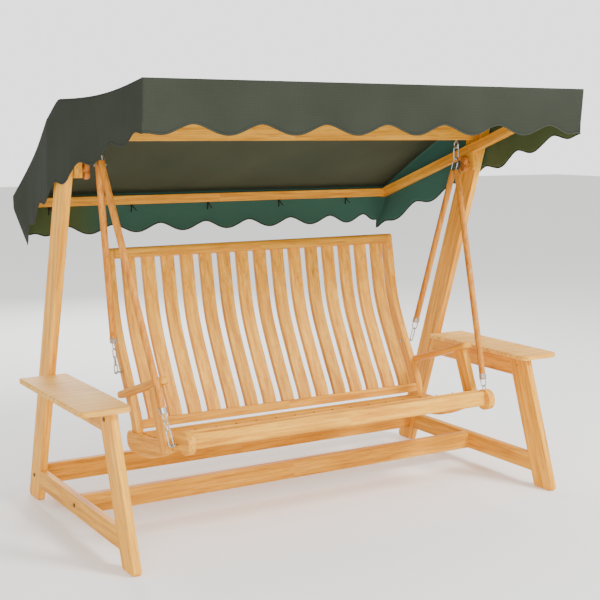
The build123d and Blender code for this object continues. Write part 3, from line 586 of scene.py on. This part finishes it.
    def roof_grid(self) -> tuple[np.ndarray, np.ndarray]:
        """The roof: x across by y along, its height the side profile less a sag between the supports.

        Returns:
            Vertices and their places on the flat cloth.
        """
        share = np.linspace(0, 1, self.roof_rows)
        y = self.profile_y(share)[:, None]
        u = np.linspace(-1, 1, self.columns)[None, :]
        x = self.half_width(y) * u
        edge = self.profile_z(y)
        middle = 1 - np.abs(u) ** 6
        over_ridge = np.exp(-(y / self.ridge_reach) ** 2)
        nearest = np.minimum(self.rear_edge[0] - y, y - self.front_edge[0])
        held = np.minimum(1.0, nearest / self.edge_reach)
        slack = (self.sag * (1 - over_ridge) * held + self.ridge_sag * over_ridge) * middle
        ripple = self.ripple * np.sin(x * 7.1 + 3.0 * y) * np.sin(y * 6.3 + 0.8) * middle * held
        z = edge - slack + ripple
        points = np.stack([x + 0 * z, y + 0 * z, z], axis=-1)
        cut = np.stack([x + 0 * z, self.slope_stretch * y + 0 * z], axis=-1)
        return points, cut

    def low_share(self, down: np.ndarray) -> np.ndarray:
        """Share of a corner's pull at a share of the drop: none down to `tuck_from`, then even."""
        return np.clip((down - self.tuck_from) / (1 - self.tuck_from), 0, 1)

    def end_valance(self, edge_row: np.ndarray, outward: float, drop: float, first: float, pitch: float,
                    phase: float, tuck: float) -> tuple[np.ndarray, np.ndarray]:
        """A front or rear valance: straight down from a row of the roof, with a slight lean and folds.

        Args:
            edge_row: the roof's vertices along that edge.
            outward: -1 for the front, 1 for the rear.
            drop: from the edge to the points between scallops.
            first: x of one of those points.
            pitch: width of a scallop.
            phase: start of the folds.
            tuck: how far its lower corners pull in.

        Returns:
            Vertices and their places on the flat cloth.
        """
        down = np.linspace(0, 1, self.valance_rows)[:, None]
        x = edge_row[None, :, 0]
        ends = (edge_row[0, 0], edge_row[-1, 0])
        hang = drop + self.scallop_depth(x, first, pitch, ends)
        corner = np.clip((1 - np.abs(x) / self.half_end) / self.flat_corner[0], 0, 1)
        fold = self.flutter(x, down, phase, self.end_fold) * corner
        z = edge_row[None, :, 2] - hang * down
        lean = self.hem_lean[0] * down + self.hem_lean[1] * down ** 2
        y = edge_row[None, :, 1] - outward * lean + fold * self.fold_lift
        reach = np.clip((np.abs(x) - self.tuck_start) / (self.half_end - self.tuck_start), 0, 1)
        pull = tuck * self.low_share(down) * reach ** 2
        points = np.stack([x - np.sign(x) * pull, y, z], axis=-1)
        cut = np.stack([x + 0 * z, outward * (self.end_cut + hang * down)], axis=-1)
        return points, cut

    def side_valance(self, side: int, first: float) -> tuple[np.ndarray, np.ndarray]:
        """A gable valance: its top follows the roof's edge, its points a line parallel to the rafters.

        Args:
            side: -1 for the left, 1 for the right.
            first: y of one of the points between scallops.

        Returns:
            Vertices and their places on the flat cloth.
        """
        share = np.linspace(0, 1, self.roof_rows)
        y = self.profile_y(share)[None, :]
        top = self.profile_z(y)
        t = (self.rear_edge[0] - y) / (self.rear_edge[0] - self.front_edge[0])
        back = y - self.front_edge[0]
        points_line = (self.front_edge[1] - self.front_drop - self.hem_fall[0] * back
                       - self.hem_fall[1] * back ** 2)
        hem = points_line - self.scallop_depth(y, first, self.side_pitch,
                                               (self.rear_edge[0], self.front_edge[0]))
        down = np.linspace(0, 1, self.valance_rows)[:, None]
        z = top + (hem - top) * down
        corner = np.clip(np.minimum(t, 1 - t) / self.flat_corner[1], 0, 1)
        fold = self.flutter(y, down, 1.3 * side, self.side_fold) * corner
        tuck = self.rear_tuck * self.low_share(down) * np.clip(1 - t / self.side_tuck_end, 0, 1) ** 2
        flare = self.flare * np.sin(np.pi * np.clip(t, 0, 1)) * down
        x = side * (self.half_width(y) + np.abs(fold) * self.fold_lift + flare - tuck)
        points = np.stack([x + 0 * z, y + 0 * z, z], axis=-1)
        cut = np.stack([side * (self.side_cut + (top - z)), self.slope_stretch * y + 0 * z], axis=-1)
        return points, cut

    def build(self) -> tuple[bpy.types.Object, np.ndarray]:
        """Sew the five grids into one cloth.

        Returns:
            The cloth and the closed line of its hem.
        """
        roof, roof_cut = self.roof_grid()
        rear, rear_cut = self.end_valance(roof[0], 1.0, self.rear_drop, self.rear_first,
                                          self.rear_pitch, 0.4, self.rear_tuck)
        front, front_cut = self.end_valance(roof[-1], -1.0, self.front_drop, self.front_first,
                                            self.front_pitch, 1.9, 0.0)
        left, left_cut = self.side_valance(-1, self.left_first)
        right, right_cut = self.side_valance(1, self.right_first)
        left[:, 0], right[:, 0] = rear[:, 0], rear[:, -1]
        left[:, -1], right[:, -1] = front[:, 0], front[:, -1]
        left[0], right[0] = roof[:, 0], roof[:, -1]
        parts = [(roof, roof_cut, True, 0), (rear, rear_cut, True, 2), (front, front_cut, False, 0),
                 (left, left_cut, True, 2), (right, right_cut, False, 2)]
        points, cuts, faces, slots, count = [], [], [], [], 0
        for grid, cut, flip, slot in parts:
            rows, columns = grid.shape[:2]
            quads = grid_faces(rows, columns, count)
            quads = quads[:, ::-1] if flip else quads
            points.append(grid.reshape(-1, 3))
            cuts.append(cut.reshape(-1, 2))
            faces.append(quads)
            slots.append(np.full(len(quads), slot))
            count += rows * columns
        points = np.concatenate(points) + np.array([0, self.shift, 0])
        cloth = mesh_object("canopy_cloth", points, np.concatenate(faces), np.concatenate(cuts))
        cloth.data.polygons.foreach_set("material_index", np.concatenate(slots).astype(np.int32))
        self.close(cloth)
        hem = np.concatenate([rear[-1], right[-1][1:], front[-1][::-1][1:], left[-1][::-1][1:-1]])
        return cloth, hem + np.array([0, self.shift, 0])

    def close(self, cloth: bpy.types.Object) -> None:
        """Merge the grids' shared edges, turn every face outwards and give the cloth its thickness.

        Args:
            cloth: the sewn cloth.
        """
        work = bmesh.new()
        work.from_mesh(cloth.data)
        bmesh.ops.remove_doubles(work, verts=work.verts, dist=self.seam_merge)
        bmesh.ops.recalc_face_normals(work, faces=work.faces)
        top = max(work.faces, key=lambda f: f.calc_center_median().z)
        if top.normal.z < 0:
            bmesh.ops.reverse_faces(work, faces=work.faces)
        work.to_mesh(cloth.data)
        work.free()
        wall = cloth.modifiers.new("cloth", "SOLIDIFY")
        wall.thickness = self.thickness
        wall.offset = -1.0
        wall.material_offset = 1

    def binding(self, hem: np.ndarray) -> bpy.types.Object:
        """The tape bound over the hem: a flattened tube whose section is an ellipse about the hem line.

        Args:
            hem: the closed line of the hem.

        Returns:
            The tape.
        """
        after = np.roll(hem, -1, axis=0) - np.roll(hem, 1, axis=0)
        along = after / np.linalg.norm(after, axis=1, keepdims=True)
        out = np.cross(along, np.array([0, 0, 1.0]))
        out /= np.linalg.norm(out, axis=1, keepdims=True)
        up = np.cross(out, along)
        angle = np.linspace(0, 2 * np.pi, self.binding_sides, endpoint=False)
        across, down = self.binding_half
        ring = (hem[:, None] + out[:, None] * (across * np.cos(angle))[None, :, None]
                + up[:, None] * (down * np.sin(angle))[None, :, None])
        closed = np.concatenate([ring, ring[:1]], axis=0)
        closed = np.concatenate([closed, closed[:, :1]], axis=1)
        rows, columns = closed.shape[:2]
        quads = grid_faces(rows, columns)
        tape = mesh_object("canopy_hem_binding", closed.reshape(-1, 3), quads,
                           np.stack([closed[..., 0].ravel(), closed[..., 2].ravel()], axis=1))
        work = bmesh.new()
        work.from_mesh(tape.data)
        bmesh.ops.remove_doubles(work, verts=work.verts, dist=self.tape_merge)
        bmesh.ops.recalc_face_normals(work, faces=work.faces)
        work.to_mesh(tape.data)
        work.free()
        return tape

    def tape(self, start: np.ndarray, end: np.ndarray, bow: float) -> tuple[np.ndarray, np.ndarray]:
        """One tail of a tie: a flat ribbon from start to end, bowed sideways by half a sine.

        Args:
            start: upper end of the tail.
            end: its lower end.
            bow: how far its middle is pushed sideways.

        Returns:
            Vertices and faces.
        """
        along = np.linspace(0, 1, self.tie_steps)[:, None]
        line = start + (end - start) * along + np.array([bow, 0.4 * bow, 0]) * np.sin(np.pi * along)
        half = np.array([self.tie_width / 2, 0, 0])
        points = np.concatenate([line - half, line + half], axis=1).reshape(-1, 3)
        return points, grid_faces(self.tie_steps, 2)

    def ties(self) -> bpy.types.Object:
        """Short knotted tapes that hang under the rear rail: two tails and a knot each.

        Returns:
            The tapes, as one piece.
        """
        low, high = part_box("rear_roof_rail")
        y, top = (low.y + high.y) / 2, low.z + 0.001
        points, faces, count = [], [], 0
        for number, place in enumerate(self.tie_places):
            spread = 0.020 + 0.003 * math.sin(2.0 * number)
            root = np.array([place, y, top])
            # upper end, lower end and bow of the straight tail, the slanting tail and the knot
            pieces = (((-0.008, 0, 0), (-0.006, 0.002, -0.040), 0.002),
                      ((-0.004, 0, -0.002), (spread, -0.002, -0.034), -0.003),
                      ((-0.010, 0, -0.003), (0.012, 0, -0.003), 0.0))
            for start, end, bow in pieces:
                line, quads = self.tape(root + np.array(start), root + np.array(end), bow)
                points.append(line)
                faces.append(quads + count)
                count += len(line)
        ties = mesh_object("canopy_tie_tapes", np.concatenate(points), np.concatenate(faces))
        wall = ties.modifiers.new("tape", "SOLIDIFY")
        wall.thickness = self.tie_thickness
        wall.offset = 0.0
        ties.data.materials.append(WovenCloth("tie tape", "#1E211C", "#171915").build())
        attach(ties, "stand")
        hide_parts("canopy_ties")
        return ties

    def dress(self) -> None:
        cloth, hem = self.build()
        outside = WovenCloth("canopy cloth outside").build()
        # Painted light: the underside and the inside of the valances are lighter, greener copies of the one
        # cloth, standing in for daylight coming through it. The inside also blends to a painted teal towards
        # the rear, away from the left end, and it glows faintly all over.
        under = WovenCloth("canopy cloth underside painted through-light", "#424837", "#3A4030").build()
        inside = WovenCloth("canopy valance inside painted through-light", "#4C5A38", "#43502F", lit="#375C50", glow=0.12).build()
        for material in (outside, under, outside, inside):
            cloth.data.materials.append(material)
        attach(cloth, "stand")
        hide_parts("canopy_roof_front", "canopy_roof_rear", "canopy_valance_front",
                    "canopy_valance_rear", "canopy_valance_left", "canopy_valance_right")
        tape = self.binding(hem)
        tape.data.materials.append(WovenCloth("hem binding tape", "#3B4036", "#31352C").build())
        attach(tape, "stand")
        ties = self.ties()
        log.info("canopy cloth: %d faces", len(cloth.data.polygons))


@dataclass
class Woodwork:
    """Materials of every wooden node, with the grain along each board."""

    post_lean: float = 108.15
    leg_lean: float = 70.45
    roof_lean: float = 161.5
    back_lean: float = 68.0
    arm_lean: float = 161.6
    slat_pitch: float = 0.0987
    slat_start: float = -0.7402
    seat_pitch: float = 0.0516
    seat_start: float = -0.468
    seat_lean: float = 172.0
    arm_post_lean: float = 67.0
    rod_rings: float = 39.27 * MM  # a rod is turned from closer-grained wood

    def finishes(self) -> dict[str, OiledWood]:
        """One finish for each kind of board, each with a seed of its own.

        Returns:
            The finish of every wooden node, by the node's name.
        """
        side = Grain.IN_SIDE_PLANE
        found: dict[str, OiledWood] = {}
        for k, hand in enumerate(("left", "right")):
            seed = 1.0 + 4.3 * k
            leaning = {"post": self.post_lean, "front_leg": self.leg_lean, "lower_rail": 0.0,
                       "upper_rail": 0.0, "rafter": self.roof_lean, "seat_side": self.seat_lean,
                       "back_stile": self.back_lean, "armrest": self.arm_lean,
                       "arm_post": self.arm_post_lean}
            for number, (part, lean) in enumerate(leaning.items()):
                found[f"{hand}_{part}"] = OiledWood(f"oiled wood {hand} {part}", grain=side, lean=lean,
                                                    seed=seed + 0.61 * number)
            found[f"{hand}_side_table"] = OiledWood(
                f"oiled wood {hand} table", pale="#F5C468", middle="#EBB24C", deep="#DA9B36", seed=seed + 9)
            found[f"{hand}_wing_knob"] = OiledWood(
                f"turned wood {hand} knob", pale="#D0873A", middle="#B9702A", deep="#96551D", grain=side,
                seed=seed + 11)
            for number, rod in enumerate(("front_rod", "rear_rod")):
                found[f"{hand}_{rod}"] = OiledWood(
                    f"round rod wood {hand} {rod}", pale="#DE9A3C", middle="#CD862A", deep="#B36E1C",
                    grain=side, seed=seed + 13 + number, ring_pitch=self.rod_rings)
        for number, part in enumerate(("rear_stretcher", "front_stretcher", "main_beam", "rear_roof_rail",
                                       "front_roof_rail", "seat_front_beam", "seat_rear_bearer",
                                       "back_top_rail", "back_lower_rail")):
            found[part] = OiledWood(f"oiled wood {part}", seed=20 + 0.77 * number)
        found["back_slats"] = OiledWood("oiled wood back slats", grain=side, lean=self.back_lean,
                                        seed=31.0, board_pitch=self.slat_pitch,
                                        board_start=self.slat_start)
        found["seat_slats"] = OiledWood("oiled wood seat slats", seed=33.0, board_axis=1,
                                        board_pitch=self.seat_pitch, board_start=self.seat_start)
        found["seat_cleats"] = OiledWood("oiled wood cleats", grain=side, lean=self.seat_lean, seed=35.0)
        found["seat_centre_bearer"] = OiledWood("oiled wood bearer", grain=side, lean=self.seat_lean,
                                                seed=36.0)
        found["rafter_rest_blocks"] = OiledWood("oiled wood blocks", grain=side, lean=self.post_lean,
                                                seed=37.0)
        return found

    def dress(self) -> None:
        """Give every wooden node its finish."""
        for node, finish in self.finishes().items():
            paint(node, finish.build())
        log.info("woodwork dressed")


@dataclass
class Ironwork:
    """Materials of the wires, hooks, eyes and bolts."""

    bright: tuple[str, ...] = ("beam_eye_bolts", "rod_forks", "right_top_hook", "left_front_hook",
                               "hanger_links", "seat_eye_bolts", "right_top_hook_gate",
                               "left_front_hook_gate")
    dark: tuple[str, ...] = ("frame_bolts", "knob_bolts")
    head_count: int = 16
    head_radius: float = 2.6 * MM
    head_sides: int = 12
    head_rise: float = 0.7 * MM
    head_depth: float = 3.0 * MM
    head_margin: float = 45.0 * MM  # from the ends of the slat to the first head
    head_back: float = 22.0 * MM  # from the front of the slat

    def screw_heads(self, material: bpy.types.Material) -> None:
        """Screw heads in a row along the front seat slat: discs a little proud of the wood.

        Args:
            material: what they are made of.
        """
        low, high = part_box("seat_slats")
        sides = self.head_sides
        angle = np.linspace(0, 2 * np.pi, sides, endpoint=False)
        x = np.linspace(low.x + self.head_margin, high.x - self.head_margin, self.head_count)[:, None]
        y = low.y + self.head_back + self.head_radius * np.sin(angle) + 0 * x
        flat = np.stack([x + self.head_radius * np.cos(angle), y], axis=-1)
        top = np.concatenate([flat, np.full(flat.shape[:2] + (1,), high.z + self.head_rise)], axis=-1)
        foot = np.concatenate([flat, np.full(flat.shape[:2] + (1,), high.z - self.head_depth)], axis=-1)
        points = np.concatenate([top, foot], axis=1).reshape(-1, 3)
        faces = []
        for k in range(self.head_count):
            start = 2 * sides * k
            faces.append(list(range(start, start + sides)))
            faces.append(list(range(start + 2 * sides - 1, start + sides - 1, -1)))
            faces += [[start + i, start + sides + i, start + sides + (i + 1) % sides, start + (i + 1) % sides]
                      for i in range(sides)]
        heads = mesh_object("seat_screw_heads", points, faces, smooth=False)
        heads.data.materials.append(material)
        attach(heads, "swing_seat")

    def dress(self) -> None:
        """Give every metal node its finish."""
        bright = ZincSteel().build()
        dark = BlackenedSteel().build()
        for node in self.bright:
            paint(node, bright)
        for node in self.dark:
            paint(node, dark)
        self.screw_heads(dark)
        log.info("ironwork dressed")


def paint(node: str, material: bpy.types.Material) -> None:
    """Put one material on a node of the frame.

    Args:
        node: the node's name.
        material: the material for all of it.
    """
    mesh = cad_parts[node].data
    if not mesh.materials:
        mesh.materials.append(material)
    for index in range(len(mesh.materials)):
        mesh.materials[index] = material


@dataclass
class Studio:
    """Pale floor, soft light and the camera."""

    eye: tuple[float, float, float] = (-2.8006, -4.7073, 1.7193)
    heading: float = -31.211
    tip_down: float = 9.682
    roll: float = 0.146
    lens: float = 70.63
    rise: float = 0.05
    daylight: float = 1.20  # strength of the surround where it lights the wood and the cloth
    backdrop: float = 2.2  # and where it is seen
    sensor: float = 36.0
    far: float = 100.0
    floor_half: float = 30.0
    floor_colour: str = "#FAFAF8"
    # name, place, target, watts and size of each light
    lights: list[tuple[str, tuple, tuple, float, float]] = field(default_factory=lambda: [
        ("key", (3.4, -5.0, 5.2), (0.0, 0.0, 0.8), 620.0, 2.0),
        ("fill", (-3.6, -5.6, 1.6), (0.0, 0.0, 1.2), 240.0, 3.5),
        ("back", (1.0, 5.5, 3.5), (0.0, 0.3, 1.2), 260.0, 3.0)])

    def camera(self) -> None:
        """Set the camera at the place and angle that show the whole swing from its front left."""
        data = bpy.data.cameras.new("camera")
        data.lens = self.lens
        data.sensor_width = self.sensor
        data.shift_y = self.rise
        data.clip_end = self.far
        camera = bpy.data.objects.new("camera", data)
        bpy.context.scene.collection.objects.link(camera)
        turn = (Matrix.Rotation(math.radians(self.heading), 4, "Z")
                @ Matrix.Rotation(math.radians(90 - self.tip_down), 4, "X")
                @ Matrix.Rotation(math.radians(self.roll), 4, "Z"))
        camera.matrix_world = Matrix.Translation(self.eye) @ turn
        bpy.context.scene.camera = camera

    def light(self) -> None:
        """Soft area lights and an even pale surround."""
        for name, place, target, power, size in self.lights:
            data = bpy.data.lights.new(name, "AREA")
            data.energy = power
            data.size = size
            lamp = bpy.data.objects.new(name, data)
            bpy.context.scene.collection.objects.link(lamp)
            lamp.location = place
            lamp.rotation_euler = (Vector(place) - Vector(target)).to_track_quat("Z", "Y").to_euler()
        world = bpy.data.worlds.new("surround")
        bpy.context.scene.world = world
        world.use_nodes = True
        background = world.node_tree.nodes["Background"]
        background.inputs["Color"].default_value = (1.0, 1.0, 1.0, 1.0)
        seen = add(world.node_tree, "ShaderNodeLightPath").outputs["Is Camera Ray"]
        strength = add(world.node_tree, "ShaderNodeMapRange",
                       inputs={"Value": seen, "To Min": self.daylight, "To Max": self.backdrop})
        world.node_tree.links.new(strength.outputs["Result"], background.inputs["Strength"])

    def floor(self) -> None:
        """A wide pale floor: one square, matt like painted board."""
        half = self.floor_half
        points = np.array([(-half, -half, 0), (half, -half, 0), (half, half, 0), (-half, half, 0)], float)
        ground = mesh_object("floor", points, [(0, 1, 2, 3)], smooth=False)
        material, tree, shader = new_tree("pale floor")
        shader.inputs["Base Color"].default_value = linear(self.floor_colour)
        shader.inputs["Roughness"].default_value = 0.9
        ground.data.materials.append(material)


def main() -> None:
    """Build the scene in order."""
    studio = Studio()
    studio.camera()
    studio.light()
    studio.floor()
    Woodwork().dress()
    Ironwork().dress()
    Canopy().dress()


if __name__ == "__main__":
    logging.basicConfig(level=logging.INFO)
    main()
